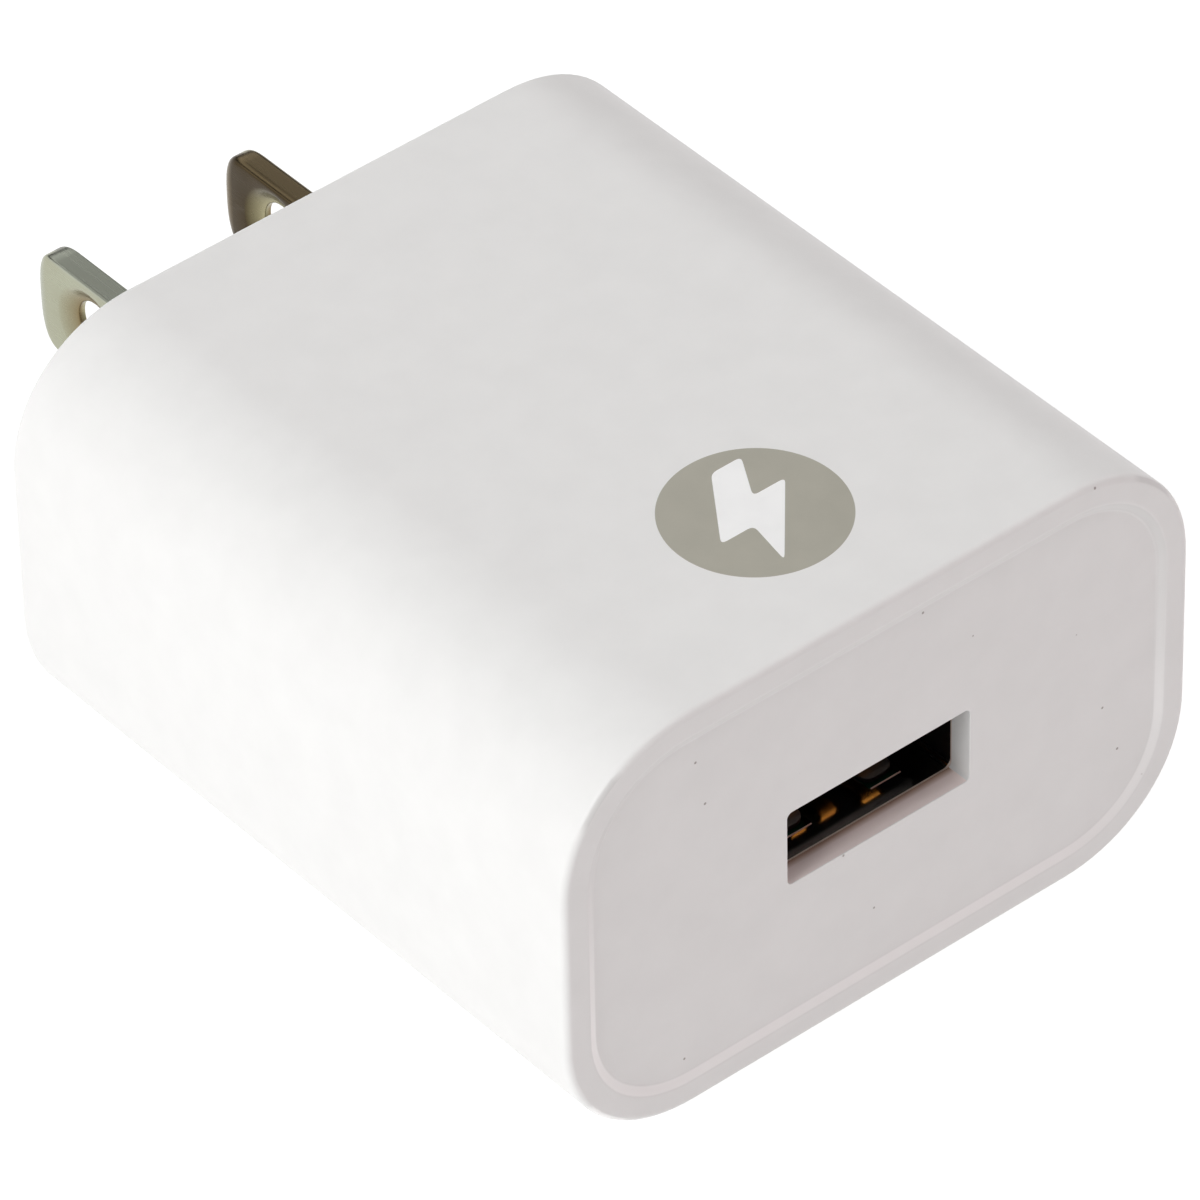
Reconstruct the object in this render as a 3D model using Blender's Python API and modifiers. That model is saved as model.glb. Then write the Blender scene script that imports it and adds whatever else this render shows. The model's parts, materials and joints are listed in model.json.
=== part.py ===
"""USB wall charger: a plug-in power supply with two fixed blades and one type-A port.

Metres, +Z up. The origin is the centre of the rear face, the one that lies against
the wall plate. The blades point along +Y and the port opens along -Y.
"""
import math

import bmesh
import bpy
from mathutils import Matrix, Vector

MM = 0.001

# Housing
WIDTH = 41.6 * MM
HEIGHT = 26.0 * MM
DEPTH = 44.5 * MM
CORNER = 8.3 * MM  # radius of the four long edges, in the front view
DRAFT = 0.05 * MM  # how far each side closes in from the front to the back
WALL = 2.2 * MM
FRONT_WALL = 1.65 * MM  # from the rim's plane to the inside of the front wall
FRONT_EDGE = 0.4 * MM  # radius around the front rim
REAR_EDGE = 0.4 * MM  # radius around the rear rim
RIM_INSET = 1.8 * MM  # outline to the inner edge of the front rim
PANEL_INSET = 2.1 * MM  # outline to the sunk front panel
PANEL_DEPTH = 0.25 * MM
CORNER_STEPS = 8
EDGE_STEPS = 3
FRONT = -DEPTH

# Pieces that touch or pass through each other keep this gap
CLEARANCE = 0.3 * MM

# Rear cover
COVER = 2.0 * MM
MOUTH_INSET = 1.6 * MM  # outline to the opening that the cover sits in
SKIRT = 1.0 * MM
SKIRT_DEPTH = 2.0 * MM
BOSS_DEPTH = 7.0 * MM
BOSS_WALL = 1.2 * MM

# Blades, to the North American two-blade pattern
BLADE_SPACING = 12.7 * MM
BLADE_WIDTH = 6.35 * MM
BLADE_THICKNESS = 1.5 * MM
BLADE_LENGTH = 15.9 * MM
BLADE_TIP_RADIUS = 4.5 * MM
BLADE_HOLE_RADIUS = 1.6 * MM
BLADE_HOLE_Y = 11.3 * MM
BLADE_CHAMFER = 0.2 * MM
TAIL_WIDTH = 5.0 * MM
TAIL_THICKNESS = 1.3 * MM  # pressed thinner than the blade, up to just clear of the cover
TAIL_LENGTH = 11.0 * MM

# Leaf springs that press on the blades' tails
SPRING_Y = -TAIL_LENGTH + 1.6 * MM
SPRING_WIDTH = 2.6 * MM
SPRING_FOOT = 2.2 * MM  # across, from the leaf to the leg that goes through the board
SPRING_BEND = 1.4 * MM  # height where the leaf turns away from the tail
SPRING_TOP = 2.4 * MM
SPRING_LEAN = 0.7 * MM  # how far its top leans away

# Port and its type-A receptacle
PORT_WIDTH = 12.2 * MM
PORT_HEIGHT = 4.8 * MM
PORT_CORNER = 0.35 * MM
SOCKET_WIDTH = 12.5 * MM  # inside the metal shell
SOCKET_HEIGHT = 5.12 * MM
SOCKET_CORNER = 0.5 * MM
SHEET = 0.3 * MM
SHELL_LENGTH = 14.0 * MM
SHELL_FRONT = FRONT + FRONT_WALL + CLEARANCE
TONGUE_WIDTH = 11.1 * MM
TONGUE_THICKNESS = 1.86 * MM
TONGUE_FRONT = SHELL_FRONT + 2.1 * MM
SOCKET_BLOCK_FRONT = SHELL_FRONT + 9.0 * MM
SOCKET_BLOCK_REAR = SHELL_FRONT + 13.5 * MM
CONTACT_X = (-3.5 * MM, -1.0 * MM, 1.0 * MM, 3.5 * MM)
CONTACT_START = (0.6 * MM, 1.2 * MM, 1.2 * MM, 0.6 * MM)  # behind the tongue's front
CONTACT_WIDTH = 1.0 * MM
CONTACT_THICKNESS = 0.25 * MM
CONTACT_BEND = ((0.5, -0.1), (1.1, -0.3), (1.9, -0.1))  # behind its front, and height, in mm
CONTACT_FLAT = 3.2 * MM  # behind its front, where it lies flat again
CONTACT_LEG = SOCKET_BLOCK_REAR + 0.9 * MM
BLOCK_EDGE = 0.4 * MM
TONGUE_EDGE = 0.3 * MM
GROOVE_DEPTH = 0.7 * MM
FINGER_X = 3.0 * MM
FINGER_WIDTH = 2.0 * MM
FINGER_TIP = SHELL_FRONT + 1.7 * MM
FINGER_ROOT = SHELL_FRONT + 7.5 * MM
FINGER_SHEET = 0.25 * MM
FINGER_RISE = ((0.0, -0.20), (0.35, 0.06), (0.8, 0.36), (1.4, 0.44), (2.6, 0.30), (5.2, -0.06))
WINDOW_LEAD = 0.4 * MM  # from a window's front edge to its finger
TAB_Y = SHELL_FRONT + 9.5 * MM
TAB_HALF_LENGTH = 1.2 * MM
TAB_HALF_THICKNESS = 0.1 * MM

# Circuit board
BOARD_TOP = -3.2 * MM
BOARD_THICKNESS = 1.6 * MM
BOARD_HALF_WIDTH = 18.2 * MM
BOARD_FRONT = FRONT + 2.1 * MM
BOARD_REAR = -7.5 * MM
BOARD_BOTTOM = BOARD_TOP - BOARD_THICKNESS
DECK = BOARD_TOP + CLEARANCE  # where the parts on top of the board begin
UNDERSIDE = BOARD_BOTTOM - CLEARANCE  # where the parts below it begin
LEAD_END = BOARD_BOTTOM - 1.4 * MM
LEAD_RADIUS = 0.3 * MM
RAIL_WIDTH = 1.5 * MM
RAIL_HEIGHT = 0.9 * MM

# Transformer, measured from its own centre
TRANSFORMER = Vector((0.0, FRONT + 24.8 * MM, 4.0 * MM))
CORE_HALF_WIDTH = 6.5 * MM
CORE_HALF_LENGTH = 6.0 * MM
CORE_THICKNESS = 6.0 * MM
CORE_BACK = 1.5 * MM
CORE_LEG = 1.5 * MM
CORE_CENTRE_HALF = 1.4 * MM
BOBBIN_WALL = 0.6 * MM
WINDING_THICKNESS = 1.4 * MM
TAPE_THICKNESS = 0.3 * MM
TUBE_CORNER = 0.8 * MM
HOLE_CORNER = 0.5 * MM
TERMINAL_X = (-4.5 * MM, -1.5 * MM, 1.5 * MM, 4.5 * MM)
TERMINAL_PIN_Y = 5.6 * MM
TERMINAL_END_Y = 7.5 * MM

# Parts on the board, as x and distance behind the front
INPUT_CAPACITORS = ((12.6 * MM, 20.5 * MM), (12.6 * MM, 30.0 * MM))
OUTPUT_CAPACITORS = ((-11.2 * MM, 8.0 * MM), (11.2 * MM, 8.0 * MM))
CHOKE = (-12.5 * MM, 33.0 * MM)
FUSE_RESISTOR = (-12.5 * MM, 24.0 * MM)
SAFETY_CAPACITOR = (-9.5 * MM, 15.3 * MM)
ISOLATION_SLOT = (3.0 * MM, 0.3 * MM)  # half its size, under the safety capacitor

# Insulation sheet below the board
SHEET_HALF_WIDTH = 12.3 * MM
SHEET_START = FRONT + 17.5 * MM
SHEET_END = FRONT + 36.0 * MM
SHEET_LIFT = 0.5 * MM

MODEL = bpy.data.collections.new("usb_wall_charger")
TOOLS = bpy.data.collections.new("cutters")

# X across, Y along the blade and Z up, from an outline drawn in the local XY plane
ACROSS = Matrix(((0, 0, 1), (1, 0, 0), (0, 1, 0))).to_4x4()


def clear_scene():
    for item in list(bpy.data.objects):
        bpy.data.objects.remove(item, do_unlink=True)
    for collection in (MODEL, TOOLS):
        bpy.context.scene.collection.children.link(collection)


def finish(item, colour, roughness, metallic=0.0):
    """Name the piece's own material after it and put the piece in the model."""
    material = bpy.data.materials.new(item.name + "_finish")
    material.use_nodes = True
    shader = material.node_tree.nodes["Principled BSDF"]
    shader.inputs["Base Color"].default_value = (*colour, 1.0)
    shader.inputs["Roughness"].default_value = roughness
    shader.inputs["Metallic"].default_value = metallic
    item.data.materials.clear()
    item.data.materials.append(material)
    return item


def plastic(item, colour, roughness=0.45):
    return finish(item, colour, roughness)


def metal(item, colour, roughness=0.3):
    return finish(item, colour, roughness, 1.0)


def add(name, shape, tool=False):
    """Make an object from a bmesh, in the model or among the cutters."""
    bmesh.ops.recalc_face_normals(shape, faces=shape.faces)
    mesh = bpy.data.meshes.new(name)
    shape.to_mesh(mesh)
    shape.free()
    mesh.shade_smooth()
    mesh.set_sharp_from_angle(angle=math.radians(30))
    item = bpy.data.objects.new(name, mesh)
    (TOOLS if tool else MODEL).objects.link(item)
    if tool:
        hide(item)
    return item


def hide(item):
    item.hide_render = True
    item.display_type = "WIRE"


def combine(item, other, operation):
    modifier = item.modifiers.new(other.name, "BOOLEAN")
    modifier.operation = operation
    modifier.solver = "EXACT"
    modifier.object = other


def cut(item, other):
    combine(item, other, "DIFFERENCE")


def join(item, other):
    combine(item, other, "UNION")


def add_box(shape, low, high, radius=0.0, along=1):
    """Add a box to a bmesh, with its edges along one axis rounded."""
    low = Vector(low)
    size = Vector(high) - low
    matrix = Matrix.Translation(low + size / 2) @ Matrix.Diagonal((*size, 1.0))
    made = bmesh.ops.create_cube(shape, size=1.0, matrix=matrix)
    if radius:
        edges = {edge for vert in made["verts"] for edge in vert.link_edges}
        picked = [edge for edge in edges if abs(edge.calc_length() - abs(size[along])) < 1e-9
                  and abs((edge.verts[0].co - edge.verts[1].co)[along]) > 1e-6]
        bmesh.ops.bevel(shape, geom=picked, offset=radius, segments=3, profile=0.5,
                        affect="EDGES", clamp_overlap=True)


def box(name, low, high, radius=0.0, along=1, tool=False):
    shape = bmesh.new()
    add_box(shape, low, high, radius, along)
    return add(name, shape, tool)


def add_cylinder(shape, centre, radius, low, high, segments=6):
    matrix = Matrix.Translation((centre[0], centre[1], (low + high) / 2))
    bmesh.ops.create_cone(shape, cap_ends=True, segments=segments, radius1=radius,
                          radius2=radius, depth=high - low, matrix=matrix)


def leads(name, places, top):
    """Round leads that run from inside a part down through the board."""
    shape = bmesh.new()
    for place in places:
        add_cylinder(shape, place, LEAD_RADIUS, LEAD_END, top)
    return add(name, shape, tool=True)


def loft(name, rings, tool=False):
    """A closed solid through rings of points: the first and the last ring are capped."""
    shape = bmesh.new()
    first = shape.faces.new([shape.verts.new(point) for point in rings[0]])
    cap = first
    for ring in rings[1:]:
        made = bmesh.ops.extrude_face_region(shape, geom=[cap])
        if cap is not first:
            shape.faces.remove(cap)
        cap = next(item for item in made["geom"] if isinstance(item, bmesh.types.BMFace))
        for vert, point in zip(cap.verts, ring):
            vert.co = point
    return add(name, shape, tool)


def rounded_rectangle(half_width, half_height, radius, steps):
    """Points around a rectangle with circular corners, as pairs."""
    points = []
    for quarter in range(4):
        side_x = (1, -1, -1, 1)[quarter]
        side_z = (1, 1, -1, -1)[quarter]
        for step in range(steps + 1):
            angle = math.radians(90) * (quarter + step / steps)
            points.append((side_x * (half_width - radius) + radius * math.cos(angle),
                           side_z * (half_height - radius) + radius * math.sin(angle)))
    return points


def housing_ring(y, inset):
    """The housing's outline at y, moved in by the inset and by the draft up to there."""
    inset += DRAFT * (y - FRONT) / DEPTH
    outline = rounded_rectangle(WIDTH / 2 - inset, HEIGHT / 2 - inset, CORNER - inset, CORNER_STEPS)
    return [(x, y, z) for x, z in outline]


def bar(name, half_width, half_height, radius, front, rear, centre=(0.0, 0.0), tool=False):
    """A bar along Y with rounded long edges."""
    outline = rounded_rectangle(half_width, half_height, radius, 3)
    rings = [[(x + centre[0], y, z + centre[1]) for x, z in outline] for y in (front, rear)]
    return loft(name, rings, tool)


def plate(name, outlines, thickness, matrix, chamfer=0.0):
    """A flat piece from closed outlines; the ones inside the first are holes."""
    curve = bpy.data.curves.new(name, "CURVE")
    curve.dimensions = "2D"
    curve.fill_mode = "BOTH"
    curve.extrude = thickness / 2 - chamfer
    curve.bevel_depth = chamfer
    curve.bevel_resolution = 0
    curve.offset = -chamfer
    for outline in outlines:
        spline = curve.splines.new("POLY")
        spline.points.add(len(outline) - 1)
        spline.use_cyclic_u = True
        for point, place in zip(spline.points, outline):
            point.co = (place[0], place[1], 0.0, 1.0)
    drawn = bpy.data.objects.new(name + "_outline", curve)
    MODEL.objects.link(drawn)
    depsgraph = bpy.context.evaluated_depsgraph_get()
    mesh = bpy.data.meshes.new_from_object(drawn.evaluated_get(depsgraph))
    bpy.data.objects.remove(drawn, do_unlink=True)
    shape = bmesh.new()
    shape.from_mesh(mesh)
    bmesh.ops.remove_doubles(shape, verts=shape.verts, dist=0.001 * MM)
    bmesh.ops.transform(shape, matrix=matrix, verts=shape.verts)
    return add(name, shape)


def strip(name, path, width, thickness, side, tool=False):
    """Bent sheet metal: a ribbon along the path, thickened evenly about its middle."""
    half = Vector(side) * width / 2
    shape = bmesh.new()
    ends = [shape.verts.new(Vector(path[0]) - half), shape.verts.new(Vector(path[0]) + half)]
    edge = shape.edges.new(ends)
    for here, there in zip(path, path[1:]):
        made = bmesh.ops.extrude_edge_only(shape, edges=[edge])
        verts = [item for item in made["geom"] if isinstance(item, bmesh.types.BMVert)]
        edge = next(item for item in made["geom"] if isinstance(item, bmesh.types.BMEdge))
        bmesh.ops.translate(shape, verts=verts, vec=Vector(there) - Vector(here))
    item = add(name, shape, tool)
    solidify = item.modifiers.new("thickness", "SOLIDIFY")
    solidify.thickness = thickness
    solidify.offset = 0.0
    solidify.use_even_offset = True
    return item


def turned(name, profile, place, steps=16, tool=False):
    """A round piece from a profile of radius and height, listed from top to bottom."""
    shape = bmesh.new()
    verts = [shape.verts.new((radius, 0.0, height)) for radius, height in profile]
    for here, there in zip(verts, verts[1:]):
        shape.edges.new((here, there))
    item = add(name, shape, tool)
    item.location = place
    screw = item.modifiers.new("turn", "SCREW")
    screw.steps = steps
    screw.render_steps = steps
    screw.use_merge_vertices = True
    screw.merge_threshold = 0.01 * MM
    screw.use_smooth_shade = True
    return item


def ring_profile(inner, outer, bottom, top):
    """A closed ring's profile, whose outer side runs from top to bottom."""
    return [(inner, top), (outer, top), (outer, bottom), (inner, bottom), (inner, top)]


def arc(centre, radius, start, end, steps):
    """Points along an arc, from one angle to another, in degrees."""
    angles = [math.radians(start + (end - start) * step / steps) for step in range(steps + 1)]
    return [(centre[0] + radius * math.cos(a), centre[1] + radius * math.sin(a)) for a in angles]


def make_housing():
    """The outer cup: sunk front panel, rounded rims, and a mouth for the rear cover."""
    levels = [(FRONT + PANEL_DEPTH, PANEL_INSET), (FRONT, RIM_INSET)]
    for step in range(EDGE_STEPS + 1):
        angle = math.radians(90) * step / EDGE_STEPS
        levels.append((FRONT + FRONT_EDGE * (1 - math.cos(angle)),
                       FRONT_EDGE * (1 - math.sin(angle))))
    for step in range(EDGE_STEPS + 1):
        angle = math.radians(90) * step / EDGE_STEPS
        levels.append((-REAR_EDGE * (1 - math.sin(angle)), REAR_EDGE * (1 - math.cos(angle))))
    ledge = -COVER - CLEARANCE
    levels += [(0.0, MOUTH_INSET), (ledge, MOUTH_INSET), (ledge, WALL), (FRONT + FRONT_WALL, WALL)]
    housing = loft("housing", [housing_ring(y, inset) for y, inset in levels])
    port = box("port_cutter", (-PORT_WIDTH / 2, FRONT - MM, -PORT_HEIGHT / 2),
               (PORT_WIDTH / 2, FRONT + 2 * FRONT_WALL, PORT_HEIGHT / 2), PORT_CORNER, 1, True)
    cut(housing, port)
    inner = WIDTH / 2 - WALL
    for side in (-1, 1):
        for low in (BOARD_TOP + CLEARANCE, BOARD_BOTTOM - CLEARANCE - RAIL_HEIGHT):
            ends = sorted((side * (inner - RAIL_WIDTH), side * (inner + WALL / 4)))
            rail = box(f"rail_{side}_{low > BOARD_BOTTOM}", (ends[0], FRONT + FRONT_WALL / 2, low),
                       (ends[1], BOARD_REAR, low + RAIL_HEIGHT), tool=True)
            join(housing, rail)
    plastic(housing, (0.80, 0.79, 0.78))


def make_rear_cover():
    """The plate that closes the back, with a skirt and a boss around each blade."""
    edge = MOUTH_INSET + CLEARANCE
    skirt = WALL + CLEARANCE
    levels = [(0.0, edge), (-COVER, edge), (-COVER, skirt), (-COVER - SKIRT_DEPTH, skirt),
              (-COVER - SKIRT_DEPTH, skirt + SKIRT), (-COVER, skirt + SKIRT)]
    cover = loft("rear_cover", [housing_ring(y, inset) for y, inset in levels])
    half_x = BLADE_THICKNESS / 2 + CLEARANCE
    half_z = BLADE_WIDTH / 2 + CLEARANCE
    for side in (-1, 1):
        x = side * BLADE_SPACING / 2
        boss = box(f"boss_{side}", (x - half_x - BOSS_WALL, -BOSS_DEPTH, -half_z - BOSS_WALL),
                   (x + half_x + BOSS_WALL, -COVER / 2, half_z + BOSS_WALL), tool=True)
        join(cover, boss)
    for side in (-1, 1):
        x = side * BLADE_SPACING / 2
        slot = box(f"slot_{side}", (x - half_x, -BOSS_DEPTH - MM, -half_z),
                   (x + half_x, MM, half_z), tool=True)
        cut(cover, slot)
    plastic(cover, (0.80, 0.79, 0.78))


def blade_outline():
    """A blade seen from the side: Y along it and Z across, its tip a shallow arc."""
    half = BLADE_WIDTH / 2
    tail = TAIL_WIDTH / 2
    shoulder = -BOSS_DEPTH - CLEARANCE
    centre = BLADE_LENGTH - BLADE_TIP_RADIUS
    reach = math.degrees(math.asin(half / BLADE_TIP_RADIUS))
    outline = [(-TAIL_LENGTH, -tail), (shoulder, -tail), (shoulder + half - tail, -half)]
    outline += arc((centre, 0.0), BLADE_TIP_RADIUS, -reach, reach, 10)
    outline += [(shoulder + half - tail, half), (shoulder, tail), (-TAIL_LENGTH, tail)]
    return outline


def pressed_tail(side):
    """The metal that is missing from both faces of a blade's tail."""
    x = side * BLADE_SPACING / 2
    shape = bmesh.new()
    for face in (-1, 1):
        across = sorted((x + face * TAIL_THICKNESS / 2, x + face * BLADE_THICKNESS))
        add_box(shape, (across[0], -2 * TAIL_LENGTH, -BLADE_WIDTH),
                (across[1], CLEARANCE, BLADE_WIDTH))
    return add(f"pressed_tail_{side}", shape, tool=True)


def make_blades():
    hole = arc((BLADE_HOLE_Y, 0.0), BLADE_HOLE_RADIUS, 0, 345, 23)
    for name, side in (("prong_left", -1), ("prong_right", 1)):
        place = Matrix.Translation((side * BLADE_SPACING / 2, 0.0, 0.0)) @ ACROSS
        blade = plate(name, [blade_outline(), hole], BLADE_THICKNESS, place, BLADE_CHAMFER)
        cut(blade, pressed_tail(side))
        metal(blade, (0.62, 0.60, 0.50))


def make_contact_springs():
    """Leaf springs on the board that press on the inner side of each blade's tail."""
    leaf = BLADE_SPACING / 2 - TAIL_THICKNESS / 2 - CLEARANCE - SHEET / 2
    base = DECK + SHEET / 2
    foot = leaf - SPRING_FOOT
    profile = ((foot, LEAD_END), (foot, base), (leaf, base), (leaf, SPRING_BEND),
               (leaf - SPRING_LEAN, SPRING_TOP))
    for name, side in (("contact_spring_left", -1), ("contact_spring_right", 1)):
        path = [(side * x, SPRING_Y, z) for x, z in profile]
        metal(strip(name, path, SPRING_WIDTH, SHEET, (0, 1, 0)), (0.80, 0.62, 0.36))
    return [(side * foot, SPRING_Y, SHEET / 2, SPRING_WIDTH / 2) for side in (-1, 1)]


def finger_path(up):
    """A spring finger from its free end near the mouth to its root; up is 1 for the floor."""
    floor = SOCKET_HEIGHT / 2
    path = [(FINGER_TIP + y * MM, z * MM) for y, z in FINGER_RISE]
    path.append((FINGER_ROOT + MM, -SHEET / 2))
    return [(y, up * (z - floor)) for y, z in path]


def make_usb_shell():
    """The folded metal shell, with two spring fingers in its floor and two in its roof."""
    half_x = SOCKET_WIDTH / 2
    half_z = SOCKET_HEIGHT / 2
    rear = SHELL_FRONT + SHELL_LENGTH
    shell = bar("usb_shell", half_x + SHEET, half_z + SHEET, SOCKET_CORNER + SHEET,
                SHELL_FRONT, rear)
    bore = bar("socket_bore", half_x, half_z, SOCKET_CORNER, SHELL_FRONT - MM, rear + MM, tool=True)
    cut(shell, bore)
    gap = FINGER_WIDTH / 2 + CLEARANCE
    for up in (1, -1):
        for side in (-1, 1):
            x = side * FINGER_X
            heights = sorted((-up * (half_z - 0.5 * MM), -up * (half_z + MM)))
            window = box(f"window_{up}_{side}", (x - gap, FINGER_TIP - WINDOW_LEAD, heights[0]),
                         (x + gap, FINGER_ROOT, heights[1]), tool=True)
            cut(shell, window)
            path = [(x, y, z) for y, z in finger_path(up)]
            finger = strip(f"finger_{up}_{side}", path, FINGER_WIDTH, FINGER_SHEET, (1, 0, 0), True)
            join(shell, finger)
    slots = []
    for side in (-1, 1):
        x = side * (half_x + SHEET / 2)
        tab = box(f"tab_{side}", (x - TAB_HALF_THICKNESS, TAB_Y - TAB_HALF_LENGTH, LEAD_END),
                  (x + TAB_HALF_THICKNESS, TAB_Y + TAB_HALF_LENGTH, 0.0), tool=True)
        join(shell, tab)
        slots.append((x, TAB_Y, TAB_HALF_THICKNESS, TAB_HALF_LENGTH))
    metal(shell, (0.72, 0.72, 0.70))
    return slots


def make_usb_insulator():
    """The moulded block at the back of the socket and the tongue that carries the contacts."""
    half_x = SOCKET_WIDTH / 2 - CLEARANCE
    half_z = SOCKET_HEIGHT / 2 - CLEARANCE
    block = box("usb_insulator", (-half_x, SOCKET_BLOCK_FRONT, -half_z),
                (half_x, SOCKET_BLOCK_REAR, half_z), BLOCK_EDGE)
    tongue = box("tongue", (-TONGUE_WIDTH / 2, TONGUE_FRONT, 0.0),
                 (TONGUE_WIDTH / 2, SOCKET_BLOCK_FRONT + MM, TONGUE_THICKNESS),
                 TONGUE_EDGE, 0, True)
    join(block, tongue)
    grooves = bmesh.new()
    passages = bmesh.new()
    half = CONTACT_WIDTH / 2 + CLEARANCE
    for x, start in zip(CONTACT_X, CONTACT_START):
        add_box(grooves, (x - half, TONGUE_FRONT + start - CLEARANCE, -MM),
                (x + half, SOCKET_BLOCK_FRONT, GROOVE_DEPTH))
        add_box(passages, (x - half, SOCKET_BLOCK_FRONT - MM, -CLEARANCE),
                (x + half, SOCKET_BLOCK_REAR + MM, GROOVE_DEPTH))
    cut(block, add("grooves", grooves, tool=True))
    cut(block, add("passages", passages, tool=True))
    plastic(block, (0.03, 0.03, 0.03), 0.4)


def make_usb_contacts():
    """Four sprung contacts under the tongue, bent down behind the block into the board."""
    level = GROOVE_DEPTH - CLEARANCE - CONTACT_THICKNESS / 2
    slots = []
    for number, (x, start) in enumerate(zip(CONTACT_X, CONTACT_START), start=1):
        front = TONGUE_FRONT + start
        path = [(x, front, level)]
        path += [(x, front + y * MM, z * MM) for y, z in CONTACT_BEND]
        path += [(x, front + CONTACT_FLAT, level), (x, CONTACT_LEG, level),
                 (x, CONTACT_LEG, LEAD_END)]
        contact = strip(f"usb_contact_{number}", path, CONTACT_WIDTH, CONTACT_THICKNESS, (1, 0, 0))
        metal(contact, (0.90, 0.66, 0.30), 0.25)
        slots.append((x, CONTACT_LEG, CONTACT_WIDTH / 2, CONTACT_THICKNESS / 2))
    return slots


def make_capacitor(name, place, radius, height, pitch, colour, along):
    """A standing can with a rolled groove near its foot and two leads."""
    x, y = place[0], FRONT + place[1]
    top_edge = 0.4 * MM
    foot_edge = 0.2 * MM
    groove = 1.4 * MM
    groove_half = 0.4 * MM
    groove_depth = 0.35 * MM
    profile = [(0.0, height), (radius - top_edge, height), (radius, height - top_edge),
               (radius, groove + groove_half), (radius - groove_depth, groove),
               (radius, groove - groove_half), (radius, foot_edge), (radius - foot_edge, 0.0),
               (0.0, 0.0)]
    can = turned(name, profile, (x, y, DECK))
    half = pitch / 2
    places = [(x - half * along[0], y - half * along[1]), (x + half * along[0], y + half * along[1])]
    join(can, leads(name + "_leads", places, 2.0 * MM))
    plastic(can, colour, 0.35)
    return places


def make_capacitors():
    places = []
    for number, place in enumerate(INPUT_CAPACITORS, start=1):
        places += make_capacitor(f"input_capacitor_{number}", place, 4.0 * MM, 11.5 * MM,
                                 3.5 * MM, (0.05, 0.05, 0.06), (0, 1))
    for number, place in enumerate(OUTPUT_CAPACITORS, start=1):
        places += make_capacitor(f"output_capacitor_{number}", place, 3.15 * MM, 11.0 * MM,
                                 2.5 * MM, (0.02, 0.10, 0.08), (1, 0))
    return places


def make_choke():
    """A ferrite drum with its wire, which is one ring between the drum's flanges."""
    x, y = CHOKE[0], FRONT + CHOKE[1]
    flange = 3.2 * MM
    neck = 1.4 * MM
    height = 8.0 * MM
    edge = 1.2 * MM
    half_pitch = 2.3 * MM
    wound = flange - 0.4 * MM
    profile = [(0.0, height), (flange, height), (flange, height - edge), (neck, height - edge),
               (neck, edge), (flange, edge), (flange, 0.0), (0.0, 0.0)]
    core = turned("choke_core", profile, (x, y, DECK))
    places = [(x, y - half_pitch), (x, y + half_pitch)]
    join(core, leads("choke_leads", places, DECK + edge / 2))
    plastic(core, (0.09, 0.09, 0.10), 0.6)
    wire = ring_profile(neck + CLEARANCE, wound, edge + CLEARANCE, height - edge - CLEARANCE)
    metal(turned("choke_winding", wire, (x, y, DECK)), (0.72, 0.33, 0.18), 0.35)
    return places


def make_fusible_resistor():
    """A lying resistor whose leads bend down into the board."""
    x, y = FUSE_RESISTOR[0], FRONT + FUSE_RESISTOR[1]
    radius = 1.9 * MM
    half = 3.5 * MM
    reach = 4.75 * MM
    waist = radius - 0.25 * MM
    end = radius - 0.3 * MM
    band = (half - 0.6 * MM, half - 1.6 * MM)  # the thick band near each end
    slope = half - 2.0 * MM
    profile = [(0.0, half), (end, half), (radius, band[0]), (radius, band[1]), (waist, slope),
               (waist, -slope), (radius, -band[1]), (radius, -band[0]), (end, -half), (0.0, -half)]
    height = DECK + radius + 0.3 * MM
    body = turned("fusible_resistor", profile, (x, y, height))
    body.rotation_euler = (math.radians(90), 0.0, 0.0)
    wire = [(x, y - reach, LEAD_END), (x, y - reach, height), (x, y + reach, height),
            (x, y + reach, LEAD_END)]
    join(body, wire_tool("resistor_wire", wire))
    plastic(body, (0.10, 0.30, 0.22), 0.5)
    return [(x, y - reach), (x, y + reach)]


def wire_tool(name, points):
    """A round wire along straight runs, as a mesh that can be joined to a part."""
    curve = bpy.data.curves.new(name, "CURVE")
    curve.dimensions = "3D"
    curve.bevel_depth = LEAD_RADIUS
    curve.bevel_resolution = 1
    curve.use_fill_caps = True
    spline = curve.splines.new("POLY")
    spline.points.add(len(points) - 1)
    for point, place in zip(spline.points, points):
        point.co = (*place, 1.0)
    drawn = bpy.data.objects.new(name + "_path", curve)
    TOOLS.objects.link(drawn)
    depsgraph = bpy.context.evaluated_depsgraph_get()
    mesh = bpy.data.meshes.new_from_object(drawn.evaluated_get(depsgraph))
    bpy.data.objects.remove(drawn, do_unlink=True)
    shape = bmesh.new()
    shape.from_mesh(mesh)
    bmesh.ops.remove_doubles(shape, verts=shape.verts, dist=0.001 * MM)
    return add(name, shape, tool=True)


def make_safety_capacitor():
    """An upright ceramic disc that bridges the two sides of the board."""
    x, y = SAFETY_CAPACITOR[0], FRONT + SAFETY_CAPACITOR[1]
    radius = 3.5 * MM
    half = 1.4 * MM
    half_pitch = 2.5 * MM
    profile = [(0.0, half)]
    for step in range(1, 6):
        angle = math.radians(36 * step)
        profile.append((radius * (0.6 + 0.4 * math.sin(angle)), half * math.cos(angle)))
    profile.append((0.0, -half))
    middle = DECK + radius + 0.6 * MM
    disc = turned("safety_capacitor", profile, (x, y, middle))
    disc.rotation_euler = (0.0, math.radians(90), 0.0)
    places = [(x, y - half_pitch), (x, y + half_pitch)]
    join(disc, leads("safety_leads", places, middle - MM))
    plastic(disc, (0.05, 0.20, 0.50), 0.4)
    return places


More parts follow.
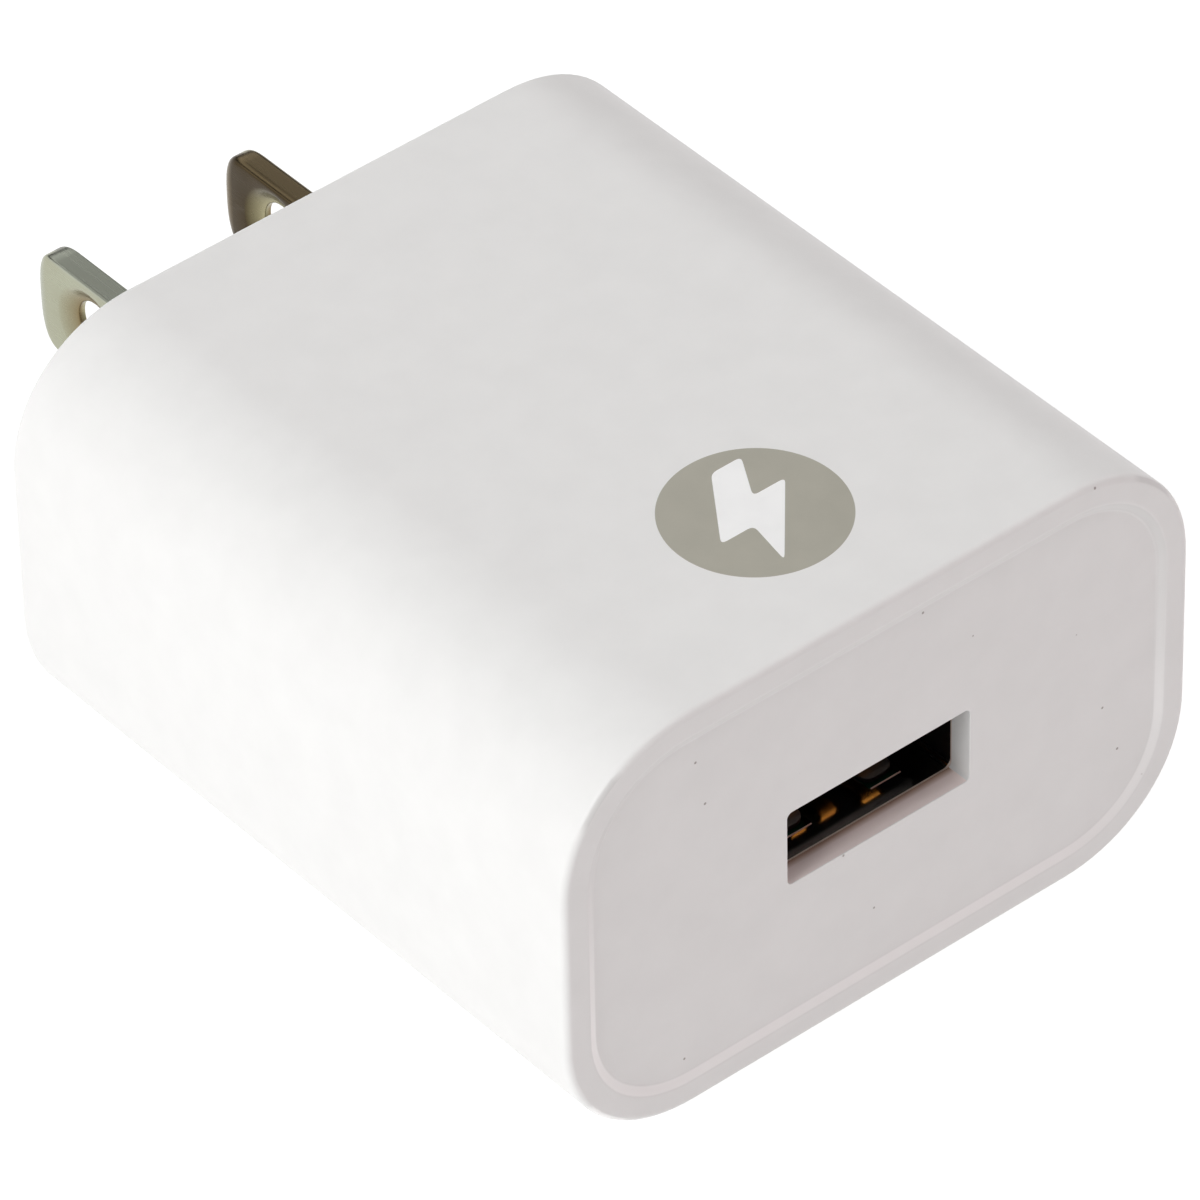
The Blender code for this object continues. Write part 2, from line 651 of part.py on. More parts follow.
def make_transformer_core():
    """Two E-shaped ferrite halves whose legs meet in the middle of the winding."""
    gap = CLEARANCE / 2
    inner = CORE_HALF_WIDTH - CORE_LEG
    back = CORE_HALF_LENGTH - CORE_BACK
    right = [(CORE_CENTRE_HALF, gap), (CORE_CENTRE_HALF, back), (inner, back), (inner, gap),
             (CORE_HALF_WIDTH, gap), (CORE_HALF_WIDTH, CORE_HALF_LENGTH)]
    outline = right + [(-x, y) for x, y in reversed(right)]
    for name, side in (("transformer_core_front", -1), ("transformer_core_rear", 1)):
        half = [(x, side * y) for x, y in outline]
        core = plate(name, [half], CORE_THICKNESS, Matrix.Translation(TRANSFORMER))
        plastic(core, (0.06, 0.06, 0.065), 0.6)


def tube_round_core(name, inner, outer, half_length):
    """A rounded rectangular tube around the core's centre leg."""
    x, y, z = TRANSFORMER
    tube = bar(name, *outer, TUBE_CORNER, y - half_length, y + half_length, (x, z))
    hole = bar(name + "_hole", *inner, HOLE_CORNER, y - 2 * half_length, y + 2 * half_length,
               (x, z), True)
    cut(tube, hole)
    return tube


def grow(pair, amount):
    return (pair[0] + amount, pair[1] + amount)


def make_transformer_coil():
    """Bobbin, wire and tape around the core's centre leg, and the bobbin's terminals."""
    x, y, z = TRANSFORMER
    hole = (CORE_CENTRE_HALF + CLEARANCE, CORE_THICKNESS / 2 + CLEARANCE)
    tube = grow(hole, BOBBIN_WALL)
    wire = grow(tube, CLEARANCE)
    tape = grow(wire, WINDING_THICKNESS + CLEARANCE)
    outside = grow(tape, TAPE_THICKNESS)
    flange_outer = CORE_HALF_LENGTH - CORE_BACK - CLEARANCE
    flange_inner = flange_outer - BOBBIN_WALL
    wound = flange_inner - CLEARANCE
    metal(tube_round_core("transformer_winding", wire, grow(wire, WINDING_THICKNESS), wound),
          (0.72, 0.33, 0.18), 0.35)
    plastic(tube_round_core("transformer_tape", tape, outside, wound), (0.80, 0.62, 0.08), 0.4)
    bobbin = bar("transformer_bobbin", *tube, HOLE_CORNER, y - flange_outer, y + flange_outer,
                 (x, z))
    for side in (-1, 1):
        ends = sorted((y + side * flange_inner, y + side * flange_outer))
        flange = box(f"flange_{side}", (x - outside[0], ends[0], z - outside[1]),
                     (x + outside[0], ends[1], z + outside[1]), tool=True)
        join(bobbin, flange)
        ends = sorted((y + side * (flange_inner + 0.1 * MM), y + side * TERMINAL_END_Y))
        terminal = box(f"terminal_{side}", (x - CORE_HALF_WIDTH, ends[0], DECK),
                       (x + CORE_HALF_WIDTH, ends[1], z - CORE_THICKNESS / 2 - 0.4 * MM),
                       tool=True)
        join(bobbin, terminal)
    pins = [(x + pin, y + side * TERMINAL_PIN_Y) for side in (-1, 1) for pin in TERMINAL_X]
    join(bobbin, leads("bobbin_pins", pins, DECK + MM))
    cut(bobbin, bar("bobbin_hole", *hole, HOLE_CORNER, y - CORE_HALF_LENGTH,
                    y + CORE_HALF_LENGTH, (x, z), True))
    plastic(bobbin, (0.03, 0.03, 0.03), 0.5)
    return pins


def surface_part(name, place, size, colour, legs=0):
    """A moulded or ceramic part under the board; legs is the number of leads on each side."""
    x, y = place[0], FRONT + place[1]
    half_x, half_y, height = size[0] / 2, size[1] / 2, size[2]
    edge = 0.15 * MM
    lift = edge if legs else 0.0
    body = box(name, (x - half_x, y - half_y, UNDERSIDE - lift - height),
               (x + half_x, y + half_y, UNDERSIDE - lift), edge)
    plastic(body, colour, 0.5)
    if not legs:
        return
    shape = bmesh.new()
    pitch = 2 * half_y / legs
    lead = 0.2 * MM
    bends = (-0.3 * MM, 0.5 * MM, 1.1 * MM)  # across, from the body's side
    middle = UNDERSIDE - lift - height / 2
    for side in (-1, 1):
        inner, knee, toe = (side * (half_x + step) for step in bends)
        for number in range(legs):
            centre = y - half_y + pitch * (number + 0.5)
            low_y, high_y = centre - pitch * 0.18, centre + pitch * 0.18
            across = sorted((x + inner, x + knee))
            add_box(shape, (across[0], low_y, middle - lead), (across[1], high_y, middle))
            across = sorted((x + knee - side * lead, x + knee))
            add_box(shape, (across[0], low_y, middle - lead), (across[1], high_y, UNDERSIDE))
            across = sorted((x + knee - side * lead, x + toe))
            add_box(shape, (across[0], low_y, UNDERSIDE - lead), (across[1], high_y, UNDERSIDE))
    combine(body, add(name + "_legs", shape, tool=True), "UNION")
    body.modifiers[-1].use_self = True


def make_surface_parts():
    black = (0.03, 0.03, 0.032)
    surface_part("bridge_rectifier", (8.3 * MM, 26.5 * MM),
                 (4.0 * MM, 4.7 * MM, 2.4 * MM), black, 2)
    surface_part("controller_chip", (-9.0 * MM, 25.5 * MM),
                 (3.9 * MM, 4.9 * MM, 1.5 * MM), black, 4)
    surface_part("output_diode", (10.5 * MM, 13.5 * MM), (4.4 * MM, 3.6 * MM, 2.2 * MM), black, 1)
    surface_part("clamp_diode", (9.0 * MM, 20.0 * MM), (4.2 * MM, 2.6 * MM, 2.1 * MM), black, 1)
    surface_part("clamp_resistor", (-2.2 * MM, 24.8 * MM), (1.6 * MM, 3.2 * MM, 0.6 * MM),
                 (0.04, 0.04, 0.05))
    surface_part("clamp_capacitor", (2.2 * MM, 24.8 * MM), (1.6 * MM, 3.2 * MM, 1.1 * MM),
                 (0.45, 0.33, 0.22))
    surface_part("sense_resistor", (-9.0 * MM, 32.0 * MM), (3.2 * MM, 1.6 * MM, 0.6 * MM),
                 (0.04, 0.04, 0.05))
    surface_part("load_resistor", (-10.0 * MM, 4.0 * MM), (3.2 * MM, 1.6 * MM, 0.6 * MM),
                 (0.04, 0.04, 0.05))


def make_board(slots, holes):
    """The board, with a slot or a hole for each lead and an isolation slot across it."""
    half = BOARD_HALF_WIDTH
    outlines = [[(-half, BOARD_FRONT), (half, BOARD_FRONT), (half, BOARD_REAR), (-half, BOARD_REAR)]]
    slots = slots + [(SAFETY_CAPACITOR[0], FRONT + SAFETY_CAPACITOR[1], *ISOLATION_SLOT)]
    for x, y, half_x, half_y in slots:
        half_x += CLEARANCE
        half_y += CLEARANCE
        outlines.append([(x - half_x, y - half_y), (x + half_x, y - half_y),
                         (x + half_x, y + half_y), (x - half_x, y + half_y)])
    for x, y in holes:
        outlines.append(arc((x, y), LEAD_RADIUS + CLEARANCE * 1.2, 0, 315, 7))
    middle = Matrix.Translation((0.0, 0.0, (BOARD_TOP + BOARD_BOTTOM) / 2))
    board = plate("circuit_board", outlines, BOARD_THICKNESS, middle)
    plastic(board, (0.03, 0.22, 0.10), 0.4)


def make_insulation_sheet():
    floor = -HEIGHT / 2 + WALL + SHEET_LIFT
    sheet = box("insulation_sheet", (-SHEET_HALF_WIDTH, SHEET_START, floor),
                (SHEET_HALF_WIDTH, SHEET_END, floor + SHEET))
    plastic(sheet, (0.75, 0.72, 0.60), 0.3)


def main():
    clear_scene()
    make_housing()
    make_rear_cover()
    make_blades()
    slots = make_contact_springs()
    slots += make_usb_shell()
    make_usb_insulator()
    slots += make_usb_contacts()
    holes = make_capacitors()
    holes += make_choke()
    holes += make_fusible_resistor()
    holes += make_safety_capacitor()
    make_transformer_core()
    holes += make_transformer_coil()
    make_surface_parts()
    make_board(slots, holes)
    make_insulation_sheet()


main()
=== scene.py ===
import json
import math

import bmesh
import bpy
from mathutils import Matrix, Vector


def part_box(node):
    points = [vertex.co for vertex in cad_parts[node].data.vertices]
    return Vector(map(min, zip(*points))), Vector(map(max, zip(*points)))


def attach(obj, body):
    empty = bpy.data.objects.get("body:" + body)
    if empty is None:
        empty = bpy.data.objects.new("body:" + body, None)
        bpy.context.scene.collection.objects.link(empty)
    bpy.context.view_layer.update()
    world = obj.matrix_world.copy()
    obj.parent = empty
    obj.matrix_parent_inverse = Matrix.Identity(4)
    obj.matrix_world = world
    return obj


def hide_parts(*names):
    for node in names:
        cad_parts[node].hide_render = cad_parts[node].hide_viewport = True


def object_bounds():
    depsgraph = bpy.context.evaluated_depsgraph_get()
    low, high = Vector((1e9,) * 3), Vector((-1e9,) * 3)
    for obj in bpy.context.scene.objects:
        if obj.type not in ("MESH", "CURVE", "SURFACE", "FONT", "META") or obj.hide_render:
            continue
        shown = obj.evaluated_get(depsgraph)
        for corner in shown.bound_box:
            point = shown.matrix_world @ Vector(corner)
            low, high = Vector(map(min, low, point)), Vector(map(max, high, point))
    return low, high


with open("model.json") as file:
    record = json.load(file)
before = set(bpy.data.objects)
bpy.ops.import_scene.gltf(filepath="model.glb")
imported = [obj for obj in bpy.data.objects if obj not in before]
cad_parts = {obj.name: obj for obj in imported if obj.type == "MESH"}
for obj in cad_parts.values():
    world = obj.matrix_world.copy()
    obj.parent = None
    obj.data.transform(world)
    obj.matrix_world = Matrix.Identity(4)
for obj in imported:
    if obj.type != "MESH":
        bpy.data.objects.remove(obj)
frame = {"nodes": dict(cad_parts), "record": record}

cad_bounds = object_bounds()

MM = 0.001

# Housing, from its CAD node, with the roundings that its box doesn't tell
HOUSING_LOW, HOUSING_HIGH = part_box("housing")
HALF_WIDTH = HOUSING_HIGH.x
HALF_HEIGHT = HOUSING_HIGH.z
FRONT = HOUSING_LOW.y
REAR = HOUSING_HIGH.y
DRAFT = 0.05 * MM
CORNER = 8.3 * MM
CORNER_POWER = 2.1  # 2 is a circle, more is squarer
CORNER_STEPS = 20
WALL = 2.2 * MM
FRONT_WALL = 1.65 * MM
FRONT_EDGE = 0.4 * MM
REAR_EDGE = 0.4 * MM
STEP_START = 1.4 * MM  # outline to where the rim starts to drop to the panel
STEP_END = 2.15 * MM
PANEL_DEPTH = 0.25 * MM
PANEL_STEPS = 8
STEP_MARGIN = 0.03 * MM  # the step's ends, which get no painted highlight or shade
STEP_LIGHT_RIGHT_FADE = 0.6  # how much weaker the painted highlight on the step is at the right
LIP = 0.12 * MM

# Rear cover
MOUTH_INSET = 1.6 * MM
COVER = 2.0 * MM
SEAM = 0.07 * MM
SLOT_CORNER = 0.3 * MM

# Port and the socket behind it
PORT_HALF_WIDTH = 6.1 * MM
PORT_HALF_HEIGHT = 2.4 * MM
PORT_CORNER = 0.35 * MM
PORT_LIP = 0.05 * MM
LEDGE_LIGHT_FRONT = 0.7  # how strong the painted pink light on the port's floor is in front; it is 1 at the inner end
SHELL_LOW, SHELL_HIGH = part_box("usb_shell")
SHELL_FRONT = SHELL_LOW.y
SHELL_REACH = 0.2 * MM  # how far the visible shell stands in front of its CAD node
SHELL_CORNER = 0.5 * MM
SOCKET_HALF_WIDTH = 6.25 * MM
SOCKET_HALF_HEIGHT = 2.56 * MM
SHEET = 0.3 * MM
FINGER_X = 3.0 * MM
FINGER_WIDTH = 2.0 * MM
FINGER_TIP = SHELL_FRONT + 1.7 * MM
FINGER_ROOT = SHELL_FRONT + 7.5 * MM
FINGER_ROUND_END = 0.55  # radius, in millimetres
WINDOW_LEAD = 0.42 * MM  # from a window's front edge to its finger
WINDOW_GAP = 0.08 * MM
BURR_RADIUS = 0.045 * MM
HALF_LEAF = 0.125 * MM  # half the thickness of the fingers and the gold contacts
LEAF_CHAMFER = 0.04 * MM
LEAF_BEND = 0.3 * MM
SHELL_QUARTERS = ((-1, -1), (-1, 1), (1, -1), (1, 1))  # below or above, left or right
FINGER_STEEL, SHADED_WALL_STEEL, LIT_EDGE_STEEL = 1, 2, 3  # the shell's materials after its plating: the fingers, painted shade on the side walls, a painted highlight on the front edge and burrs
# Distance from the free end and height over the wall, in millimetres
FINGER_PROFILE = ((0.0, -0.02), (0.3, 0.1), (0.8, 0.17), (1.6, 0.2), (2.8, 0.17), (4.2, 0.08),
                  (5.8, -0.05), (6.4, -0.15))
# Distance from the front end and how far below the leaf's flat part, in millimetres
CONTACT_PROFILE = ((0.0, 0.1), (0.2, 0.34), (0.5, 0.52), (0.9, 0.54), (1.4, 0.38), (2.2, 0.12),
                   (3.2, 0.0), (4.0, 0.0))

# Blades
BLADE_LOW, BLADE_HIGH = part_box("prong_left")
BLADE_HALF = 0.75 * MM  # half the thickness
HOLE_Y = 11.3 * MM
HOLE_RADIUS = 1.6 * MM
DISH_RADIUS = 2.75 * MM
DISH_DEPTH = 0.5 * MM
HOLE_EASE = 0.1 * MM  # rounding of the hole's rim
TIP_REACH = 2.0 * MM
TIP_POWER = 2.9
TAIL_HALF_WIDTH = 2.5 * MM
SHOULDER = -7.3 * MM
LEFT_EDGE = 0.14 * MM  # how far the eased long edges reach in on each blade
RIGHT_EDGE = 0.34 * MM
TIP_EDGE_WIDTH = 0.75 * MM
TIP_EDGE_DEPTH = 0.42 * MM
# Places along a long edge, close together beside the dish, in millimetres
EDGE_PLACES = (-2.0, 2.0, 5.0, 7.0, 8.0, 8.8, 9.6, 10.4, 11.2, 12.0, 12.7)

# Printed mark on the top
MARK_X = -0.15 * MM
MARK_Y = FRONT + 9.5 * MM
MARK_RADIUS = 5.02 * MM
INK = 0.008 * MM
BOLT_EASE = 0.4 * MM
BOLT = ((0.3, 3.75), (-2.9, -0.75), (-0.75, -0.75), (-1.3, -3.75), (2.9, 1.05), (0.75, 1.05),
        (2.3, 3.75))  # corners, in millimetres from the disc's middle

# Camera, around a point near the middle of the housing
AZIMUTH = math.radians(39.24)
ELEVATION = math.radians(40.64)
ROLL = math.radians(-1.32)
DISTANCE = 531.9 * MM
LENS = 309.24
SENSOR = 36.0
AIM = Vector((-0.28 * MM, (FRONT + REAR) / 2 - 0.48 * MM, -0.64 * MM))

# Softboxes: azimuth and elevation in degrees, size in metres, power in watts, colour
WHITE_LIGHT = (1.0, 1.0, 1.0)
SOFTBOX_DISTANCE = 0.8
SOFTBOXES = {
    "key_light": (-90.0, 34.0, (0.5, 0.5), 4.55, WHITE_LIGHT),
    "side_light": (90.0, 33.0, (0.5, 0.5), 1.8, WHITE_LIGHT),
    "top_light": (180.0, 88.0, (0.5, 0.5), 1.9, WHITE_LIGHT),
    "front_fill": (145.0, 10.0, (0.5, 0.4), 0.4, (1.0, 0.2, 0.25)),
    "lip_light": (143.0, 36.0, (0.2, 0.2), 0.12, WHITE_LIGHT),
    "back_light": (-6.0, 35.0, (1.45, 0.35), 1.4, WHITE_LIGHT),
}
FLOOR_HALF = 3.0
FLOOR_GLOW = 0.88  # lifts the floor to white, as the photo's background is
HORIZON = (0.045, 0.06)  # where the white sky ends and the dark one starts, as heights

ROOT = "root"


# Meshes

def add(name, shape, sharp=32.0):
    """An object from a bmesh, smooth except along edges sharper than the given angle."""
    bmesh.ops.recalc_face_normals(shape, faces=shape.faces)
    mesh = bpy.data.meshes.new(name)
    shape.to_mesh(mesh)
    shape.free()
    mesh.shade_smooth()
    mesh.set_sharp_from_angle(angle=math.radians(sharp))
    item = bpy.data.objects.new(name, mesh)
    bpy.context.scene.collection.objects.link(item)
    return item


def even_normals(item):
    """Shade the large faces flat and let the narrow roundings carry the turn."""
    modifier = item.modifiers.new("even_normals", "WEIGHTED_NORMAL")
    modifier.keep_sharp = True
    return item


def bridge(shape, rings, closed):
    """Quads between rings of points. Rings that don't close on themselves get end caps."""
    made = [[shape.verts.new(point) for point in ring] for ring in rings]
    pairs = list(zip(made, made[1:]))
    if closed:
        pairs.append((made[-1], made[0]))
    else:
        shape.faces.new(made[0])
        shape.faces.new(made[-1])
    for here, there in pairs:
        for one in range(len(here)):
            two = (one + 1) % len(here)
            shape.faces.new((here[one], here[two], there[two], there[one]))


def loft(name, rings, closed=False, sharp=32.0):
    """An object whose surface runs through rings of points."""
    shape = bmesh.new()
    bridge(shape, rings, closed)
    return even_normals(add(name, shape, sharp))


def rounded_outline(half_width, half_height, radius, power=2.0, steps=CORNER_STEPS):
    """Points around a rectangle with rounded corners, as pairs."""
    points = []
    for corner in range(4):
        side_x = (1, -1, -1, 1)[corner]
        side_z = (1, 1, -1, -1)[corner]
        for step in range(steps + 1):
            angle = math.radians(90) * (corner + step / steps)
            reach_x = math.copysign(abs(math.cos(angle)) ** (2 / power), side_x)
            reach_z = math.copysign(abs(math.sin(angle)) ** (2 / power), side_z)
            points.append((side_x * (half_width - radius) + radius * reach_x,
                           side_z * (half_height - radius) + radius * reach_z))
    return points


def housing_ring(y, inset):
    """The housing's outline at a depth, moved in by the inset and the draft."""
    inset += DRAFT * (y - FRONT) / (REAR - FRONT)
    outline = rounded_outline(HALF_WIDTH - inset, HALF_HEIGHT - inset, CORNER - inset,
                              CORNER_POWER)
    return [(x, y, z) for x, z in outline]


def port_ring(y, grow):
    """The port's outline at a depth."""
    outline = rounded_outline(PORT_HALF_WIDTH + grow, PORT_HALF_HEIGHT + grow, PORT_CORNER + grow)
    return [(x, y, z) for x, z in outline]


def smooth_step(share):
    """0 to 1 with a level start and end."""
    return share * share * (3 - 2 * share)


def quarter(steps):
    """Pairs of 1 - cos and 1 - sin through a quarter turn, for a rounded edge."""
    angles = [math.radians(90) * step / steps for step in range(steps + 1)]
    return [(1 - math.cos(angle), 1 - math.sin(angle)) for angle in angles]


def blade_middle(side):
    """Where a blade stands across X; the known corners are the left one's."""
    return side * (BLADE_LOW.x + BLADE_HIGH.x) / -2


# Pieces

def make_housing():
    """One wall all round: outside, rear rim, inside, port and sunk front panel."""
    rings = [housing_ring(FRONT + FRONT_EDGE * rise, FRONT_EDGE * inward)
             for rise, inward in quarter(8)]
    rings += [housing_ring(REAR - REAR_EDGE * inward, REAR_EDGE * rise)
              for rise, inward in quarter(6)]
    ledge = REAR - COVER - 2 * SEAM
    rings += [housing_ring(REAR, MOUTH_INSET - LIP), housing_ring(REAR - LIP, MOUTH_INSET),
              housing_ring(ledge, MOUTH_INSET), housing_ring(ledge, WALL),
              housing_ring(FRONT + FRONT_WALL, WALL), port_ring(FRONT + FRONT_WALL, 0.0)]
    panel = FRONT + PANEL_DEPTH
    rings += [port_ring(panel + PORT_LIP * inward, PORT_LIP * rise)
              for rise, inward in quarter(4)]
    for step in range(PANEL_STEPS + 1):
        share = step / PANEL_STEPS
        rings.append(housing_ring(panel - PANEL_DEPTH * smooth_step(share),
                                  STEP_END + (STEP_START - STEP_END) * share))
    shell = loft("housing_shell", rings, closed=True)
    mark_step_light(shell)
    mark_ledge_light(shell)
    return shell


def clamp(value):
    """The value, kept from 0 to 1."""
    return min(max(value, 0.0), 1.0)


def mark_step_light(shell):
    """Record the light painted on the step to the panel: a highlight, weaker at the right, and
    shade along the top.
    """
    attribute = shell.data.attributes.new("step", "FLOAT", "POINT")
    for vert, value in zip(shell.data.vertices, attribute.data):
        depth = vert.co.y - FRONT
        on_step = STEP_MARGIN < depth < PANEL_DEPTH - STEP_MARGIN
        inset = HALF_WIDTH - abs(vert.co.x), HALF_HEIGHT - abs(vert.co.z)
        below_top = clamp((HALF_HEIGHT - CORNER / 2 - vert.co.z) / CORNER)
        at_right = clamp((vert.co.x - HALF_WIDTH + CORNER) / CORNER)
        # Above 0 paints a highlight on the step, below 0 paints shade along its top
        if on_step and min(inset) > STEP_START:
            value.value = below_top * (1.0 - STEP_LIGHT_RIGHT_FADE * at_right) - (1.0 - below_top)


def mark_ledge_light(shell):
    """Record the port's floor for painted light and shade, most at its inner end by the metal
    behind it.
    """
    attribute = shell.data.attributes.new("ledge", "FLOAT", "POINT")
    for vert, value in zip(shell.data.vertices, attribute.data):
        depth = vert.co.y - FRONT
        behind_lip = PANEL_DEPTH + 0.9 * PORT_LIP < depth < FRONT_WALL + PORT_LIP
        in_port = behind_lip and abs(vert.co.x) < PORT_HALF_WIDTH + PORT_LIP
        if in_port and abs(vert.co.z + PORT_HALF_HEIGHT) < PORT_LIP:
            value.value = LEDGE_LIGHT_FRONT if depth < FRONT_WALL / 2 else 1.0


def flat_piece(name, outlines, y, thickness, bevel):
    """A flat piece across Y from closed outlines of x and z; inner outlines are holes."""
    curve = bpy.data.curves.new(name, "CURVE")
    curve.dimensions = "2D"
    curve.fill_mode = "BOTH"
    curve.extrude = thickness / 2 - bevel
    curve.bevel_depth = bevel
    curve.bevel_resolution = 2
    curve.offset = -bevel
    for outline in outlines:
        spline = curve.splines.new("POLY")
        spline.points.add(len(outline) - 1)
        spline.use_cyclic_u = True
        for point, place in zip(spline.points, outline):
            point.co = (place[0], place[1], 0.0, 1.0)
    drawn = bpy.data.objects.new(name + "_outline", curve)
    bpy.context.scene.collection.objects.link(drawn)
    depsgraph = bpy.context.evaluated_depsgraph_get()
    mesh = bpy.data.meshes.new_from_object(drawn.evaluated_get(depsgraph))
    bpy.data.objects.remove(drawn, do_unlink=True)
    shape = bmesh.new()
    shape.from_mesh(mesh)
    bpy.data.meshes.remove(mesh)
    bmesh.ops.remove_doubles(shape, verts=shape.verts, dist=0.0005 * MM)
    turn = Matrix(((1, 0, 0), (0, 0, -1), (0, 1, 0))).to_4x4()
    bmesh.ops.transform(shape, matrix=Matrix.Translation((0.0, y, 0.0)) @ turn, verts=shape.verts)
    return even_normals(add(name, shape))


def make_rear_panel():
    """The plate in the mouth of the housing, with a close slot around each blade."""
    rim = [(x, z) for x, y, z in housing_ring(REAR, MOUTH_INSET + SEAM)]
    outlines = [rim]
    for side in (-1, 1):
        middle = blade_middle(side)
        slot = rounded_outline(BLADE_HALF + SEAM, BLADE_HIGH.z + SEAM, SLOT_CORNER, steps=4)
        outlines.append([(x + middle, z) for x, z in slot])
    return flat_piece("rear_panel", outlines, REAR - COVER / 2, COVER, LIP)


def blade_outline():
    """The blade's outline from below its tail around the tip, with how much each point is tip."""
    half = BLADE_HIGH.z
    tip_start = BLADE_HIGH.y - TIP_REACH
    bevel_start = SHOULDER + half - TAIL_HALF_WIDTH
    lower = [(BLADE_LOW.y, -TAIL_HALF_WIDTH), (SHOULDER, -TAIL_HALF_WIDTH), (bevel_start, -half)]
    lower += [(y * MM, -half) for y in EDGE_PLACES]
    points = [(y, z, 0.0) for y, z in lower]
    steps = 40
    for step in range(steps + 1):
        angle = math.radians(-90 + 180 * step / steps)
        reach = abs(math.cos(angle)) ** (2 / TIP_POWER)
        across = math.copysign(abs(math.sin(angle)) ** (2 / TIP_POWER), angle)
        points.append((tip_start + TIP_REACH * reach, half * across, math.cos(angle)))
    points += [(y, -z, 0.0) for y, z in reversed(lower)]
    return points


def inset_point(points, index, amount):
    """A point of a closed outline, moved in at right angles to it."""
    here = points[index]
    before = points[index - 1]
    after = points[(index + 1) % len(points)]
    along = Vector((after[0] - before[0], after[1] - before[1])).normalized()
    return (here[0] - along.y * amount, here[1] + along.x * amount)


def ring_around_hole(points, radius, x):
    """Points on a circle around the hole, each in the direction of an outline's point."""
    angles = [math.atan2(z, y - HOLE_Y) for y, z, tip in points]
    return [(x, HOLE_Y + radius * math.cos(angle), radius * math.sin(angle)) for angle in angles]


def make_blade(name, side, edge_width):
    """A stamped blade: eased long edges, a tapered tip and a shallow dish around the hole."""
    points = blade_outline()
    rim_radius = HOLE_RADIUS + HOLE_EASE
    dish_steps = 8
    half_rings = [[], []]
    for face, rings in zip((1, -1), half_rings):
        for rise, inward in quarter(3):
            radius = HOLE_RADIUS + HOLE_EASE * rise
            height = BLADE_HALF - DISH_DEPTH - HOLE_EASE * inward
            rings.append(ring_around_hole(points, radius, face * height))
        for step in range(1, dish_steps + 1):
            share = step / dish_steps
            radius = rim_radius + (DISH_RADIUS - rim_radius) * share
            height = BLADE_HALF - DISH_DEPTH * (1 - smooth_step(share))
            rings.append(ring_around_hole(points, radius, face * height))
        for rise, inward in reversed(quarter(5)):
            placed = []
            for index, (y, z, tip) in enumerate(points):
                width = edge_width + (TIP_EDGE_WIDTH - edge_width) * tip
                depth = edge_width + (TIP_EDGE_DEPTH - edge_width) * tip
                inner = inset_point(points, index, width * rise)
                placed.append((face * (BLADE_HALF - depth * inward), *inner))
            rings.append(placed)
    rings = half_rings[0] + list(reversed(half_rings[1]))
    middle = blade_middle(side)
    rings = [[(x + middle, y, z) for x, y, z in ring] for ring in rings]
    return loft(name, rings, closed=True, sharp=40.0)


def eased_rows(corners, steps=4, rounds=3):
    """Pairs along a bent line, with its bends eased."""
    rows = []
    for start, end in zip(corners, corners[1:]):
        for step in range(steps):
            share = step / steps
            rows.append((start[0] + (end[0] - start[0]) * share,
                         start[1] + (end[1] - start[1]) * share))
    rows.append(corners[-1])
    for _ in range(rounds):
        eased = [(here[0], (before[1] + 2 * here[1] + after[1]) / 4)
                 for before, here, after in zip(rows, rows[1:], rows[2:])]
        rows = [rows[0], *eased, rows[-1]]
    return rows


def finger_rings(up, side):
    """Cross-sections of one spring finger, from its rounded free end to its root."""
    middle = side * FINGER_X
    rings = []
    for y, z in eased_rows(FINGER_PROFILE):
        short = max(FINGER_ROUND_END - y, 0.0)
        cut = FINGER_ROUND_END - math.sqrt(FINGER_ROUND_END ** 2 - short ** 2)
        half = FINGER_WIDTH / 2 - cut * MM
        place_y = FINGER_TIP + y * MM
        place_z = z * MM - SOCKET_HALF_HEIGHT
        ring = [(middle - half, place_z - HALF_LEAF), (middle + half, place_z - HALF_LEAF),
                (middle + half, place_z + HALF_LEAF), (middle - half, place_z + HALF_LEAF)]
        rings.append([(x, place_y, up * height) for x, height in ring])
    return rings


def burr_rings(up, side):
    """Cross-sections of the rolled edge at the front of a window."""
    place_y = FINGER_TIP - WINDOW_LEAD - BURR_RADIUS
    place_z = up * SOCKET_HALF_HEIGHT
    half = FINGER_WIDTH / 2
    angles = [math.radians(45 * step) for step in range(8)]
    circle = [(place_y + BURR_RADIUS * math.cos(angle), place_z + BURR_RADIUS * math.sin(angle))
              for angle in angles]
    return [[(x, y, z) for y, z in circle]
            for x in (side * FINGER_X - half, side * FINGER_X + half)]


def socket_ring(y, grow):
    """The socket's outline at a depth, grown by part of the sheet's thickness."""
    outline = rounded_outline(SOCKET_HALF_WIDTH + grow, SOCKET_HALF_HEIGHT + grow,
                              SHELL_CORNER + grow, steps=8)
    return [(x, y, z) for x, z in outline]


def make_windows():
    """Blocks where the shell is cut open around each spring finger."""
    shape = bmesh.new()
    gap = FINGER_WIDTH / 2 + WINDOW_GAP
    for up, side in SHELL_QUARTERS:
        low = Vector((side * FINGER_X - gap, FINGER_TIP - WINDOW_LEAD,
                      up * SOCKET_HALF_HEIGHT - MM))
        high = Vector((side * FINGER_X + gap, FINGER_ROOT, up * SOCKET_HALF_HEIGHT + MM))
        matrix = Matrix.Translation((low + high) / 2) @ Matrix.Diagonal((*(high - low), 1.0))
        bmesh.ops.create_cube(shape, size=1.0, matrix=matrix)
    return add("windows", shape)


def cut_away(item, cutter):
    """A bmesh of an object less another; both objects are removed."""
    modifier = item.modifiers.new("cut", "BOOLEAN")
    modifier.operation = "DIFFERENCE"
    modifier.solver = "EXACT"
    modifier.object = cutter
    depsgraph = bpy.context.evaluated_depsgraph_get()
    mesh = bpy.data.meshes.new_from_object(item.evaluated_get(depsgraph))
    for used in (item, cutter):
        bpy.data.objects.remove(used, do_unlink=True)
    shape = bmesh.new()
    shape.from_mesh(mesh)
    bpy.data.meshes.remove(mesh)
    return shape


